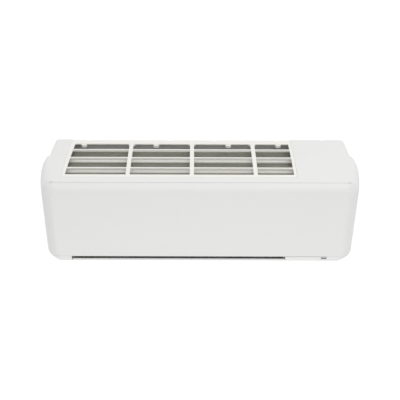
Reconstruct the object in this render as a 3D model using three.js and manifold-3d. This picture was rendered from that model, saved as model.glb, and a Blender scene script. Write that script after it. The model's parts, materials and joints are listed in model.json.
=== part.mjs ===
// Indoor unit of a mini split air conditioner, hung on a wall by a steel plate.
// Millimetres. +X is to the right as seen from the room, +Y points into the wall, +Z is up.
// The origin is on the wall face, at the centre of the mounting plate.
// Inside the unit, places are given by x, by t (how far from the wall, so y = -t)
// and by z above the lowest edge of the casing.
import * as THREE from 'three';
import { mergeVertices } from 'three/addons/utils/BufferGeometryUtils.js';
import Module from 'manifold-3d';

const wasm = await Module();
wasm.setup();

// ---------------------------------------------------------------- driving dimensions
const HEIGHT = 298; // lowest edge to the top at the wall
const DEPTH = 224.5; // wall to the front face
const WALL_GAP = 0.8; // rear edge of the casing stands this far off the wall
const SHELL = 2.6; // wall of the casing, the panel and the grille
const SEAM = 0.5; // gap between neighbouring covers
const FIT = 0.4; // gap between parts that sit in each other
const RUN = 0.35; // radial clearance of a turning pin

// plan shape of the casing: half widths
const WIDE_HALF = 415.5; // widest place
const WIDE_T = 140; // depth of the widest place
const NECK_HALF = WIDE_HALF - 13; // just behind the step
const NECK_T = 81; // where the step begins
const STEP_T = 94; // where the step ends
const REAR_HALF = NECK_HALF - 2.5; // at the wall
const SIDE_RADIUS = 212; // bow of the side walls
const FRONT_SIDE_RADIUS = 24; // upright front edges
const FRONT_TOP_RADIUS = 18; // long front edge on top
const FRONT_BOTTOM_RADIUS = 5; // long front edge below
const TOP_RADIUS = 940; // bow of the top, level at the wall
const TOP_CORNER = 12; // top edge along the sides, near the wall
const SHOULDER = 34; // top edge along the sides, at the front
const BOTTOM_CORNER = 30; // lower corners
const CHIN_Z = 47; // underside at the front
const HEEL_T = 70; // the underside is level from the wall to here
const CORNER_STEPS = 5; // facets of each corner of the casing
const FILLET_STEPS = 6; // facets of its front edges

// air outlet
const END_BAY = 75; // left of the outlet, up to the widest place
const DRIVE_BAY = 187.5; // right of the outlet, for the motors and the electrical parts
const MOUTH_LEFT = END_BAY - WIDE_HALF;
const MOUTH_RIGHT = WIDE_HALF - DRIVE_BAY;
const MOUTH_REAR_T = DEPTH - 112;

// inlet grille on top
const GRILLE_REAR_T = 4;
const GRILLE_FRONT_T = DEPTH - 41;
const INLET_REAR_T = GRILLE_REAR_T + 23;
const INLET_FRONT_T = GRILLE_FRONT_T - 10;
const INLET_LEFT_REAR = MOUTH_LEFT + 0.5;
const INLET_LEFT_FRONT = MOUTH_LEFT - 6.5;
const INLET_RIGHT = MOUTH_RIGHT + 13.5;
const GRILLE_LEFT_REAR = INLET_LEFT_REAR - 9.5;
const GRILLE_LEFT_FRONT = INLET_LEFT_FRONT - 7.5;
const GRILLE_RIGHT = INLET_RIGHT + 7.5;
const BAR_TS = [58, 99, 145]; // long bars across the inlet
const BAR_THICK = 4;
const BAR_DEEP = 5.5;
const INLET_WIDE = INLET_RIGHT - MOUTH_LEFT;
const RIB_XS = [0.2655, 0.549, 0.8315].map((share) => MOUTH_LEFT + share * INLET_WIDE);
const RIB_WIDE = 10.5; // ribs from back to front
const RIB_GUSSET = 5;
const TAB_XS = [0.042, 0.3805, 0.719, 0.953].map((share) => MOUTH_LEFT + share * INLET_WIDE);
const TAB_RADIUS = 8; // half round snap tabs
const TAB_TALL = 7;
const NOTCH_XS = [0.059, 0.444, 0.654, 0.9495].map((share) => MOUTH_LEFT + share * INLET_WIDE);
const CASING_NOTCH_X = WIDE_HALF - 77.5; // the same notch in the casing beside the grille
const NOTCH_WIDE = 9; // notches in the rear edge
const NOTCH_DEEP = 4;
const LEDGE_WIDE = 5; // shelf of the casing under the edge of the grille
const LEDGE_THICK = 2.2;
const LEDGE_REAR_T = GRILLE_REAR_T + 10; // the shelf starts here

// front panel and its hinge
const PANEL_BOTTOM = CHIN_Z + 15;
const LIP_RADIUS = 11; // the upper lip of the panel rolls inside this circle
const HINGE_T = DEPTH - 14;
const HINGE_DROP = 8.1; // hinge axis below the top surface
const HINGE_Z = HEIGHT - TOP_RADIUS + Math.sqrt(TOP_RADIUS ** 2 - HINGE_T ** 2) - HINGE_DROP;
const HINGE_X = WIDE_HALF - 58; // middle of the hinge arm of the panel
const HINGE_PIN = 2.2;
const HINGE_ARM = 4; // thickness of the arms and of the brackets
const HINGE_EYE = 3.6; // outer radius of the bracket eye
const ARM_LOW_Z = HINGE_Z - 38; // foot of the arm on the back of the panel
const ARM_HIGH_Z = HINGE_Z - 12;
const STIFFENER_XS = [-200, 0, 200];
const STIFFENER_THICK = 2;
const STIFFENER_DEEP = 5;

// fascia of the casing behind the panel
const FASCIA_T = HINGE_T - 4.5;
const FASCIA_THICK = 2.5;
const FASCIA_TOP = HINGE_Z - 13.5;
const FASCIA_HALF = WIDE_HALF - 12;
const WINDOW_LEFT = MOUTH_LEFT - 3.5;
const WINDOW_RIGHT = MOUTH_RIGHT + 8;
const WINDOW_BOTTOM = HEIGHT * 0.4 - 9.2;
const WINDOW_TOP = FASCIA_TOP - 6;

// vane that closes the outlet
const VANE_THICK = 3.2;
const VANE_TAIL = 1.6; // thickness of its rear edge
const VANE_LIP = 6; // height of its front edge
const VANE_FRONT_GAP = 2.5; // its edge behind the front face
const VANE_SIDE_GAP = 1;
const VANE_PIVOT_S = 88; // pivot, measured back along the slope from the front face
const VANE_PIVOT_UP = 10; // pivot above the slope
const VANE_LENGTH = 107;
const VANE_PIN = 3;
const VANE_EAR = 3; // thickness of the ears that carry the pins

// display strip and receiver window in the chin, to the right of the vane
const DISPLAY_RIGHT = WIDE_HALF - 91.5;
const RECEIVER_RIGHT = DISPLAY_RIGHT + 14.5;
const CHIN_TOP = PANEL_BOTTOM - 1.5; // top of the display strip

// chassis
const CHASSIS_HALF = REAR_HALF - SHELL - 4.4;
const CHASSIS_TOP = HEIGHT - 8;
const CHASSIS_BOTTOM = 6;
const CHASSIS_WALL = 2.5;
const CHASSIS_REAR_T = 2;
const CHASSIS_BACK_T = 10;
const CHANNEL_TOP = HEIGHT * 0.4 - 55.2; // roof of the pipe channel
const CHANNEL_FRONT_T = 58;
const FAN_WALL_THICK = 3;
const FAN_WALL_LEFT = MOUTH_LEFT - 11.5;
const FAN_WALL_RIGHT = MOUTH_RIGHT + 6;
const CHASSIS_RIB_XS = [0.1065, 0.3525, 0.599, 0.845].map((share) =>
  MOUTH_LEFT + share * (MOUTH_RIGHT - MOUTH_LEFT));
const CHASSIS_RIB_THICK = 2;

// cross flow fan, its motor and bearing
const FAN_T = DEPTH / 2 - 7.25;
const FAN_Z = HEIGHT * 0.4 - 1.2;
const FAN_RADIUS = 48;
const FAN_GAP = 4; // between the ends of the fan and the walls beside it
const FAN_LEFT = FAN_WALL_LEFT + FAN_WALL_THICK + FAN_GAP;
const FAN_RIGHT = FAN_WALL_RIGHT - FAN_GAP - 1;
const FAN_BLADES = 16;
const FAN_BLADE_DEEP = 10.5;
const FAN_BLADE_THICK = 1.5;
const FAN_BLADE_SWEEP = 0.22; // radians
const FAN_DISCS = 4;
const FAN_DISC_THICK = 3;
const SHAFT_RADIUS = 4;
const HUB_WALL = 5;
const HUB_LONG = 14;
const SPIRAL_START = 140; // degrees, above and behind the fan
const SPIRAL_END = 250;
const SPIRAL_NEAR = FAN_RADIUS + 6; // distance from the fan axis where the spiral starts
const SPIRAL_FAR = FAN_RADIUS + 32;
const SPIRAL_STEPS = 10;
const MOTOR_LEFT = FAN_WALL_RIGHT + FAN_WALL_THICK + 7;
const MOTOR_LONG = 58;
const MOTOR_RADIUS = 43;
const MOTOR_EDGE = 5; // chamfer of the can
const CRADLE_THICK = 4;
const CLAMP_STRAP = 2;
const BEARING_RADIUS = 12;
const BEARING_OUT = 8; // it stands out of the fan wall this far
const BEARING_WALL = 4; // of the boss around it

// evaporator: the ends of each slab, first the rear one, as shares of the depth ahead of
// the fan axis and shares of the height above it
const GUTTER_Z = FAN_Z + HEIGHT * 0.1745;
const GUTTER_FRONT_T = FAN_T - DEPTH * 0.187;
const SLAB_ENDS = {
  evaporator_rear: [[-0.272, 0.228], [-0.049, 0.44]],
  evaporator_upper: [[0.0535, 0.433], [0.321, 0.265]],
  evaporator_front: [[0.3385, 0.215], [0.3385, -0.067]],
};
const COIL_LEFT = MOUTH_LEFT + 2.5;
const COIL_RIGHT = MOUTH_RIGHT - 4;
const SLAB_THICK = 26;
const TUBE_RADIUS = 3.6;
const TUBE_SIDES = 6;
const TUBE_ROW = 13; // between the two rows of tubes
const TUBE_PITCH = HEIGHT * 0.0705;
const TUBES_PER_ROW = 4;
const TUBE_CLEARANCE = 0.3;
const BEND_STEPS = 4; // facets of the return bends
const BRACKET_THICK = 1.2;
const BRACKET_GAP = 1;

// air filters
const FILTER_THICK = 3;
const FILTER_RIM = 5;
const FILTER_REAR_RIM = 2.5;
const FILTER_CELLS = 3; // windows side by side in the upright part of each frame
const FILTER_LEFT = MOUTH_LEFT - 15.5;
const FILTER_RIGHT = MOUTH_RIGHT + 23;
const FILTER_GAP = 2; // between the left and the right filter, under the second rib of the grille
const FILTER_MESH = 0.8;
const FILTER_REAR = [34, HEIGHT - 19];
const FILTER_BEND = [DEPTH - 62, HEIGHT - 28];
const FILTER_FRONT_T = FASCIA_T - 4;
const FILTER_DROP_Z = HINGE_Z - 39.5;
const FILTER_LOW_Z = WINDOW_BOTTOM + 4;
const FILTER_RIB_TS = [89, 140.5]; // broad cross ribs seen through the inlet
const FILTER_RIB_WIDE = 11;
const FILTER_RIB_ZS = [150, 185]; // cross ribs behind the front panel

// louvre blades in the outlet
const LOUVRE_T = FAN_T + 69.5; // pivot line, on the roof of the outlet
const LOUVRE_Z = FAN_Z - 33;
const LOUVRE_TILT = 30; // degrees, slope of the roof of the outlet
const LOUVRE_SWING = 30; // degrees to each side
const LOUVRE_FIRST_X = MOUTH_LEFT + 25.5;
const LOUVRE_PITCH = 57;
const LOUVRE_COUNT = Math.floor((MOUTH_RIGHT - 20 - LOUVRE_FIRST_X) / LOUVRE_PITCH) + 1;
const LOUVRE_THICK = 1.8;
const LOUVRE_TALL = 23;
const LOUVRE_BACK = 22;
const LOUVRE_AHEAD = 16;
const LOUVRE_PIN = 2.4;
const LINK_ARM = 14; // from the pivot line to the link bar
const LINK_PIN = 1.5;
const LINK_WIDE = 8;
const LINK_THICK = 2.5;
const LINK_END = 6; // the link bar runs this far past its end pins
const RAIL_TOP = -1; // below the pivot line's own plane
const RAIL_THICK = 5;
const RAIL_WIDE = 18;
const CRANK_X = MOUTH_RIGHT + 24;
const CRANK_THICK = 3.5;
const SWING_MOTOR_LOW = -8;

// drain pan, which is also the roof and the cheeks of the outlet
const PAN_WALL = 2.2;
const PAN_REAR_T = LOUVRE_T - 13.5;
const PAN_FRONT_T = FASCIA_T - FIT - PAN_WALL / 2 - 1;
const PAN_REAR_Z = FAN_Z - 8; // rim of the pan
const PAN_FRONT_Z = FAN_Z - 14;
const APRON_BOTTOM = PANEL_BOTTOM + 2.5;
const CHEEK_THICK = 2.7;
const CHEEK_GAP = 0.8; // between the cheeks and the opening in the casing
const SPOUT_RADIUS = 8;
const SPOUT_BORE = 6;
const SPOUT_LONG = 26;
const SPOUT_T = LOUVRE_T + 8;
const SPOUT_Z = LOUVRE_Z + 7;
const WING_Z = [66, 84]; // lugs that the casing is screwed to
const WING_T = [FASCIA_T - 7.5, PAN_FRONT_T + PAN_WALL / 2];
const SCREW_X = CHASSIS_HALF - 13;
const SCREW_Z = 75;
const SCREW_RADIUS = 1.8;
const SCREW_HEAD = 4;
const SCREW_HEAD_TALL = 2.6;

// mounting plate and pipes
const PLATE_WIDE = 560;
const PLATE_TALL = 190;
const PLATE_THICK = 1.5;
const PLATE_Z = 170; // centre of the plate above the lowest edge of the unit
const PLATE_CORNER = 12;
const PLATE_HOLE = 2.75;
const PLATE_HOLE_XS = [-240, -120, 120, 240];
const PLATE_HOLE_ZS = [-70, 70];
const HOOK_X = 190;
const HOOK_WIDE = 46;
const HOOK_DROP = 24; // below the top of the plate
const HOOK_REACH = 4;
const GAS_PIPE = 4.76;
const LIQUID_PIPE = 3.18;
const PIPE_DROP_X = MOUTH_RIGHT + 17; // where the pipes go down behind the fan motor
const GAS_T = 34; // the gas pipe in the channel behind the unit
const GAS_Z = FAN_Z - 72;
const GAS_BEND_ZS = [122, 98]; // it leans towards the wall between these heights
const LIQUID_Z = FAN_Z - 78;
const PIPE_END_X = MOUTH_LEFT + 0.2823 * (MOUTH_RIGHT - MOUTH_LEFT);
const NUT_WALL = 5;
const NUT_LONG = 18;
const COLLAR_WALL = 2;
const COLLAR_LONG = 10;
const CLAMP_X = 60;
const CLAMP_WIDE = 12;

// electrical parts
const BOX_LEFT = CRANK_X + 10;
const BOX_RIGHT = CHASSIS_HALF - 5;
const BOX_FRONT_T = FASCIA_T - 7.5;
const BOX_REAR_T = BOX_FRONT_T - 43;
const BOX_TOP = WINDOW_TOP - 12;
const BUTTON_Z = 92;
const BOX_BOTTOM = BUTTON_Z + 30.5;
const BOX_WALL = 2;
const BOX_COVER = 2;
const BOARD_THICK = 1.6;
const BOARD_EDGE = 8; // from the box to the board
const POST_RADIUS = 3;
const POST_LONG = 10;
const POST_SPREAD = 40; // from the middle of the box to a post
const POST_RISE = (BOX_TOP - BOX_BOTTOM) / 2 - 16;
const TERMINAL_TALL = 26;
const TERMINAL_BAYS = 5;
const TERMINAL_PITCH = 14;
const TERMINAL_BAY = 10;
const STEPPER_RADIUS = 14;
const STEPPER_LONG = 18;
const STEPPER_OFFSET = 8; // from the shaft to the middle of the can
const BUTTON_X = BOX_RIGHT - 54;
const BUTTON_RADIUS = 4;
const BUTTON_FLANGE = 2; // the flange is this much wider
const BUTTON_TRAVEL = 1.5;
const BUTTON_FLANGE_T = FASCIA_T - 3;

// ---------------------------------------------------------------- finishes
const finish = (color, roughness, metalness = 0) =>
  new THREE.MeshStandardMaterial({ color, roughness, metalness });
const WHITE = finish(0xe9e9e7, 0.45);
const WARM_WHITE = finish(0xf0efe9, 0.5);
const IVORY = finish(0xdedbd0, 0.6);
const PALE_GREY = finish(0xc4c6c4, 0.6);
const DARK_GREY = finish(0x3a3c3e, 0.55);
const BLACK = finish(0x1c1d1f, 0.35);
const NETTING = finish(0x6f6f66, 0.8);
const STEEL = finish(0xb4b7b9, 0.4, 0.9);
const FIN_ALUMINIUM = finish(0xa7a89f, 0.5, 0.7);
const COPPER = finish(0xb06a3f, 0.35, 0.95);
const BRASS = finish(0xb8954a, 0.35, 0.95);
const RUBBER = finish(0x232323, 0.9);
const BOARD_GREEN = finish(0x2f5a3a, 0.6);
const LENS = finish(0xefefed, 0.3);

// ---------------------------------------------------------------- solids
const radians = (degrees) => (degrees * Math.PI) / 180;

function solid(geometry) {
  const bare = geometry.index ? geometry.toNonIndexed() : geometry;
  bare.deleteAttribute('normal');
  bare.deleteAttribute('uv');
  const merged = mergeVertices(bare);
  return new wasm.Manifold(new wasm.Mesh({
    numProp: 3,
    vertProperties: Float32Array.from(merged.attributes.position.array),
    triVerts: Uint32Array.from(merged.index.array),
  }));
}

function geometryOf(body) {
  const mesh = body.getMesh();
  const geometry = new THREE.BufferGeometry();
  geometry.setAttribute('position', new THREE.BufferAttribute(mesh.vertProperties, 3));
  geometry.setIndex(new THREE.BufferAttribute(mesh.triVerts, 1));
  geometry.computeVertexNormals();
  return geometry;
}

const join = (...bodies) => bodies.flat().reduce((sum, body) => sum.add(body));

const outline = (points) => new THREE.Shape(points.map(([a, b]) => new THREE.Vector2(a, b)));

function prism(shape, long, curveSegments = 12) {
  return new THREE.ExtrudeGeometry(shape, { depth: long, bevelEnabled: false, curveSegments });
}

// A side profile in (t, z), from x0 to x1.
function sideSlice(shape, x0, x1) {
  const place = new THREE.Matrix4().set(0, 0, -1, x1, -1, 0, 0, 0, 0, 1, 0, 0, 0, 0, 0, 1);
  return solid(prism(shape, x1 - x0).applyMatrix4(place));
}

// A plan outline in (x, t), from z0 up to z1.
function planSlice(shape, z0, z1) {
  const place = new THREE.Matrix4().set(1, 0, 0, 0, 0, -1, 0, 0, 0, 0, -1, z1, 0, 0, 0, 1);
  return solid(prism(shape, z1 - z0).applyMatrix4(place));
}

// A front outline in (x, z), from t0 out to t1.
function frontSlice(shape, t0, t1, curveSegments = 12) {
  const place = new THREE.Matrix4().set(1, 0, 0, 0, 0, 0, -1, -t0, 0, 1, 0, 0, 0, 0, 0, 1);
  return solid(prism(shape, t1 - t0, curveSegments).applyMatrix4(place));
}

function block(x0, x1, t0, t1, z0, z1) {
  const geometry = new THREE.BoxGeometry(x1 - x0, t1 - t0, z1 - z0);
  return solid(geometry.translate((x0 + x1) / 2, -(t0 + t1) / 2, (z0 + z1) / 2));
}

// A round bar along X.
function barAlongX(radius, x0, x1, t, z, sides = 20) {
  const geometry = new THREE.CylinderGeometry(radius, radius, x1 - x0, sides);
  return solid(geometry.rotateZ(Math.PI / 2).translate((x0 + x1) / 2, -t, z));
}

// A round bar that points from the wall to the room.
function barAlongT(radius, x, t0, t1, z, sides = 16) {
  const geometry = new THREE.CylinderGeometry(radius, radius, t1 - t0, sides);
  return solid(geometry.translate(x, -(t0 + t1) / 2, z));
}

// An upright bar.
function barAlongZ(radius, x, t, z0, z1, sides = 16) {
  const geometry = new THREE.CylinderGeometry(radius, radius, z1 - z0, sides);
  return solid(geometry.rotateX(Math.PI / 2).translate(x, -t, (z0 + z1) / 2));
}

function roundedRectangle(a0, a1, b0, b1, radius) {
  const shape = new THREE.Shape();
  shape.absarc(a1 - radius, b1 - radius, radius, 0, Math.PI / 2);
  shape.absarc(a0 + radius, b1 - radius, radius, Math.PI / 2, Math.PI);
  shape.absarc(a0 + radius, b0 + radius, radius, Math.PI, 1.5 * Math.PI);
  shape.absarc(a1 - radius, b0 + radius, radius, 1.5 * Math.PI, 2 * Math.PI);
  return shape;
}

// A strip of even thickness that follows a line of (t, z) points.
function ribbon(points, thickness) {
  const side = (sign) => points.map(([a, b], i) => {
    const [a0, b0] = points[Math.max(i - 1, 0)];
    const [a1, b1] = points[Math.min(i + 1, points.length - 1)];
    const long = Math.hypot(a1 - a0, b1 - b0);
    return [a - sign * (b1 - b0) * thickness / 2 / long, b + sign * (a1 - a0) * thickness / 2 / long];
  });
  return outline([...side(-1), ...side(1).reverse()]);
}

// ---------------------------------------------------------------- shape of the casing
const SLOPE = CHIN_Z / (DEPTH - HEEL_T); // rise of the underside towards the room
const SLOPE_LONG = Math.hypot(1, SLOPE);

const topZ = (t) => HEIGHT - TOP_RADIUS + Math.sqrt(TOP_RADIUS ** 2 - t ** 2);
const undersideZ = (t) => Math.max(0, (t - HEEL_T) * SLOPE);
const easeStep = (share) => share * share * (3 - 2 * share);

function halfWidth(t) {
  if (t <= NECK_T) return REAR_HALF + (NECK_HALF - REAR_HALF) * (t / NECK_T);
  const bowed = (at) => WIDE_HALF - SIDE_RADIUS + Math.sqrt(SIDE_RADIUS ** 2 - (at - WIDE_T) ** 2);
  if (t >= STEP_T) return bowed(t);
  return NECK_HALF + (bowed(STEP_T) - NECK_HALF) * easeStep((t - NECK_T) / (STEP_T - NECK_T));
}

// How far a rounded front edge of this radius has drawn in at depth t.
function drawnIn(t, radius, front) {
  const past = Math.min(Math.max(t - (front - radius), 0), radius);
  return radius - Math.sqrt(radius ** 2 - past ** 2);
}

// The casing's outer body, or the same body made smaller all round by inset.
// It is a drum whose rings are rounded rectangles, one at each depth.
const RING_POINTS = 4 * (CORNER_STEPS + 1);

function depthRings(inset) {
  const front = DEPTH - inset;
  const radius = FRONT_SIDE_RADIUS - inset;
  const straight = [WALL_GAP, NECK_T / 2, NECK_T];
  const step = [0.25, 0.5, 0.75, 1].map((share) => NECK_T + (STEP_T - NECK_T) * share);
  const bowEnd = DEPTH - 38;
  const bow = [(STEP_T + WIDE_T) / 2, WIDE_T, (WIDE_T + bowEnd) / 2, bowEnd];
  const fillet = Array.from({ length: FILLET_STEPS + 1 }, (_, i) =>
    front - radius + radius * Math.sin((i / FILLET_STEPS) * Math.PI / 2));
  return [...straight, ...step, ...bow, ...fillet];
}

function ringCorners(t, inset) {
  const front = DEPTH - inset;
  const side = drawnIn(t, FRONT_SIDE_RADIUS - inset, front);
  const top = drawnIn(t, FRONT_TOP_RADIUS - inset, front);
  const below = drawnIn(t, Math.max(FRONT_BOTTOM_RADIUS - inset, 0.5), front);
  const half = halfWidth(t) - inset - side;
  const high = topZ(t) - inset - top;
  const low = undersideZ(t) + inset * (t > HEEL_T ? SLOPE_LONG : 1) + below;
  const grown = easeStep(Math.min(Math.max((t - STEP_T) / (DEPTH - FRONT_SIDE_RADIUS - STEP_T), 0), 1));
  const shoulder = TOP_CORNER + (SHOULDER - TOP_CORNER) * grown - inset;
  const lower = BOTTOM_CORNER - inset;
  return [
    { x: half, z: high, across: shoulder - side, up: shoulder - top, turn: 0 },
    { x: -half, z: high, across: shoulder - side, up: shoulder - top, turn: 1 },
    { x: -half, z: low, across: lower - side, up: lower - below, turn: 2 },
    { x: half, z: low, across: lower - side, up: lower - below, turn: 3 },
  ];
}

function ringPoint(t, index, inset) {
  const corner = ringCorners(t, inset)[Math.floor(index / (CORNER_STEPS + 1))];
  const share = (index % (CORNER_STEPS + 1)) / CORNER_STEPS;
  const angle = (corner.turn + share) * Math.PI / 2;
  const outX = Math.sign(corner.x);
  const outZ = corner.turn < 2 ? 1 : -1;
  return [
    corner.x - outX * corner.across + corner.across * Math.cos(angle),
    corner.z - outZ * corner.up + corner.up * Math.sin(angle),
  ];
}

function casingBody(inset, rearT = WALL_GAP) {
  const rings = depthRings(inset);
  rings[0] = rearT;
  const drum = new THREE.CylinderGeometry(1, 1, rings.length - 1, RING_POINTS, rings.length - 1);
  const place = drum.attributes.position;
  for (let i = 0; i < place.count; i += 1) {
    const t = rings[Math.round(place.getY(i) + (rings.length - 1) / 2)];
    const onRing = Math.hypot(place.getX(i), place.getZ(i)) > 0.5;
    const turn = Math.atan2(place.getX(i), place.getZ(i)) / (2 * Math.PI);
    const index = Math.round((turn < 0 ? turn + 1 : turn) * RING_POINTS) % RING_POINTS;
    const [x, z] = onRing ? ringPoint(t, index, inset) : [0, (topZ(t) + undersideZ(t)) / 2];
    place.setXYZ(i, x, -t, z);
  }
  return solid(drum);
}

const BEHIND_WALL = -5; // depths that cut right through the rear edge
const casingLayer = (outside, inside) => casingBody(outside).subtract(casingBody(inside, BEHIND_WALL));
const skin = casingLayer(0, SHELL);

// ---------------------------------------------------------------- pieces
const unit = new THREE.Group();
unit.position.z = -PLATE_Z;

function addPiece(name, body, material, parent = unit) {
  const mesh = new THREE.Mesh(geometryOf(body), material);
  mesh.name = name;
  parent.add(mesh);
  return mesh;
}

// Everything in front of the hinge line, and the circle that the upper lip rolls in.
function panelZone(grow) {
  const ahead = block(-WIDE_HALF, WIDE_HALF, HINGE_T - grow, DEPTH + 50, PANEL_BOTTOM - grow, HINGE_Z);
  const over = block(-WIDE_HALF, WIDE_HALF, HINGE_T, DEPTH + 50, HINGE_Z - 1, HEIGHT);
  return join(ahead, over, barAlongX(LIP_RADIUS + grow, -WIDE_HALF, WIDE_HALF, HINGE_T, HINGE_Z, 48));
}

function frontPanel() {
  const face = skin.intersect(panelZone(0));
  const arms = [-1, 1].map((side) => {
    const middle = side * HINGE_X;
    const x0 = middle - HINGE_ARM / 2;
    const x1 = middle + HINGE_ARM / 2;
    const arm = sideSlice(outline([
      [HINGE_T - HINGE_PIN, HINGE_Z - 4],
      [DEPTH - SHELL / 2, ARM_LOW_Z],
      [DEPTH - SHELL / 2, ARM_HIGH_Z],
      [HINGE_T + 3, HINGE_Z + HINGE_PIN],
      [HINGE_T - HINGE_PIN, HINGE_Z + HINGE_PIN],
    ]), x0, x1);
    const reach = HINGE_ARM * 1.5 + 1;
    const pinFrom = Math.min(middle, middle + side * reach);
    const pin = barAlongX(HINGE_PIN, pinFrom, pinFrom + reach, HINGE_T, HINGE_Z, 16);
    return join(arm, pin);
  });
  const stiffeners = STIFFENER_XS.map((x) =>
    block(x - STIFFENER_THICK / 2, x + STIFFENER_THICK / 2, DEPTH - SHELL - STIFFENER_DEEP,
      DEPTH - SHELL / 2,
      PANEL_BOTTOM + 12, HINGE_Z - 30));
  return join(face, arms, stiffeners);
}

const grilleLeft = (t) => {
  const share = (t - GRILLE_REAR_T) / (GRILLE_FRONT_T - GRILLE_REAR_T);
  return GRILLE_LEFT_REAR + (GRILLE_LEFT_FRONT - GRILLE_LEFT_REAR) * share * (2 - share);
};

// Plan outline of the grille, made larger or smaller all round.
function grillePlan(grow) {
  const rear = grow > 0 ? -10 : GRILLE_REAR_T - grow;
  const front = GRILLE_FRONT_T + grow;
  const stations = Array.from({ length: 7 }, (_, i) => rear + (front - rear) * (i / 6));
  const left = stations.map((t) => [grilleLeft(Math.max(t, GRILLE_REAR_T)) - grow, t]);
  const right = [[GRILLE_RIGHT + grow, front], [GRILLE_RIGHT + grow, rear]];
  return planSlice(outline([...left, ...right]), HEIGHT - 60, HEIGHT + 10);
}

function inletGrille() {
  const inletLeft = (t) => INLET_LEFT_REAR
    + (INLET_LEFT_FRONT - INLET_LEFT_REAR) * (t - INLET_REAR_T) / (INLET_FRONT_T - INLET_REAR_T);
  const inlet = planSlice(outline([
    [inletLeft(INLET_REAR_T), INLET_REAR_T],
    [INLET_RIGHT, INLET_REAR_T],
    [INLET_RIGHT, INLET_FRONT_T],
    [inletLeft(INLET_FRONT_T), INLET_FRONT_T],
  ]), HEIGHT - 60, HEIGHT + 10);
  const frame = skin.intersect(grillePlan(0)).subtract(inlet);
  const barLayer = casingLayer(0.3, BAR_DEEP);
  const bars = BAR_TS.map((t) =>
    block(inletLeft(t) - 1, INLET_RIGHT + 1, t - BAR_THICK / 2, t + BAR_THICK / 2, HEIGHT - 60, HEIGHT));
  const ribs = RIB_XS.map((x) => planSlice(outline([
    [x - RIB_WIDE / 2 - RIB_GUSSET, INLET_REAR_T - 1],
    [x + RIB_WIDE / 2 + RIB_GUSSET, INLET_REAR_T - 1],
    [x + RIB_WIDE / 2, INLET_REAR_T + RIB_GUSSET],
    [x + RIB_WIDE / 2, INLET_FRONT_T + 1],
    [x - RIB_WIDE / 2, INLET_FRONT_T + 1],
    [x - RIB_WIDE / 2, INLET_REAR_T + RIB_GUSSET],
  ]), HEIGHT - 60, HEIGHT));
  const tabs = TAB_XS.map((x) =>
    barAlongZ(TAB_RADIUS, x, INLET_REAR_T - 1, HEIGHT - SHELL - TAB_TALL + 0.1, HEIGHT - SHELL));
  const notches = NOTCH_XS.map((x) =>
    block(x - NOTCH_WIDE / 2, x + NOTCH_WIDE / 2, -1, GRILLE_REAR_T + NOTCH_DEEP, HEIGHT - 20, HEIGHT + 5));
  return join(frame, barLayer.intersect(join(bars, ribs)), tabs).subtract(join(notches));
}

// Side profile of the outlet between the cheeks, used to open the casing.
const mouthCut = () => block(MOUTH_LEFT, MOUTH_RIGHT, MOUTH_REAR_T, DEPTH + 20, -20, PANEL_BOTTOM);

function frontCasing() {
  const window = block(WINDOW_LEFT, WINDOW_RIGHT, FASCIA_T - 5, FASCIA_T + 10, WINDOW_BOTTOM, WINDOW_TOP);
  const fascia = block(-FASCIA_HALF, FASCIA_HALF, FASCIA_T, FASCIA_T + FASCIA_THICK, CHIN_Z - 8, FASCIA_TOP)
    .intersect(casingBody(SHELL / 2)).subtract(window);
  const ledgeZone = block(-WIDE_HALF, WIDE_HALF, LEDGE_REAR_T, GRILLE_FRONT_T + 10, HEIGHT - 40, HEIGHT);
  const ledgeLow = SHELL + FIT + LEDGE_THICK;
  const ledge = casingLayer(SHELL + FIT, ledgeLow)
    .intersect(grillePlan(SHELL)).subtract(grillePlan(-LEDGE_WIDE)).intersect(ledgeZone);
  const ledgeRoot = casingLayer(SHELL / 2, ledgeLow)
    .intersect(grillePlan(SHELL * 2)).subtract(grillePlan(SEAM)).intersect(ledgeZone);
  const brackets = [-1, 1].map((side) => {
    const inner = HINGE_X + HINGE_ARM / 2 + 1;
    const x0 = side > 0 ? inner : -inner - HINGE_ARM;
    const eye = barAlongX(HINGE_EYE, x0, x0 + HINGE_ARM, HINGE_T, HINGE_Z, 20);
    const stalk = sideSlice(outline([
      [FASCIA_T, FASCIA_TOP - 14],
      [FASCIA_T + FASCIA_THICK, FASCIA_TOP - 14],
      [HINGE_T + 2, HINGE_Z - 3],
      [HINGE_T - 3, HINGE_Z - 1],
    ]), x0, x0 + HINGE_ARM);
    const bore = barAlongX(HINGE_PIN + RUN, x0 - 1, x0 + HINGE_ARM + 1, HINGE_T, HINGE_Z, 16);
    return join(eye, stalk).subtract(bore);
  });
  const shell = skin.subtract(join(panelZone(SEAM), grillePlan(SEAM), mouthCut()));
  const notchHalf = NOTCH_WIDE / 2;
  const slots = [
    block(MOUTH_RIGHT - 1, RECEIVER_RIGHT, FASCIA_T + FASCIA_THICK, DEPTH + 5, CHIN_Z - 8, PANEL_BOTTOM + 1),
    block(CASING_NOTCH_X - notchHalf, CASING_NOTCH_X + notchHalf, -1, NOTCH_DEEP, HEIGHT - 20, HEIGHT + 5),
    barAlongT(BUTTON_RADIUS + FIT, BUTTON_X, FASCIA_T - 1, FASCIA_T + FASCIA_THICK + 1, BUTTON_Z),
    block(MOUTH_LEFT, MOUTH_RIGHT, FASCIA_T - 1, FASCIA_T + 5, 0, PANEL_BOTTOM + 2),
    ...[-SCREW_X, SCREW_X].map((x) =>
      barAlongT(SCREW_RADIUS + FIT, x, FASCIA_T - 1, FASCIA_T + 5, SCREW_Z, 12)),
  ];
  return join(shell, fascia, ledge, ledgeRoot, brackets).subtract(join(slots));
}

// ---- air outlet: slope helpers, vane
const SLOPE_ANGLE = Math.atan(SLOPE);

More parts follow.
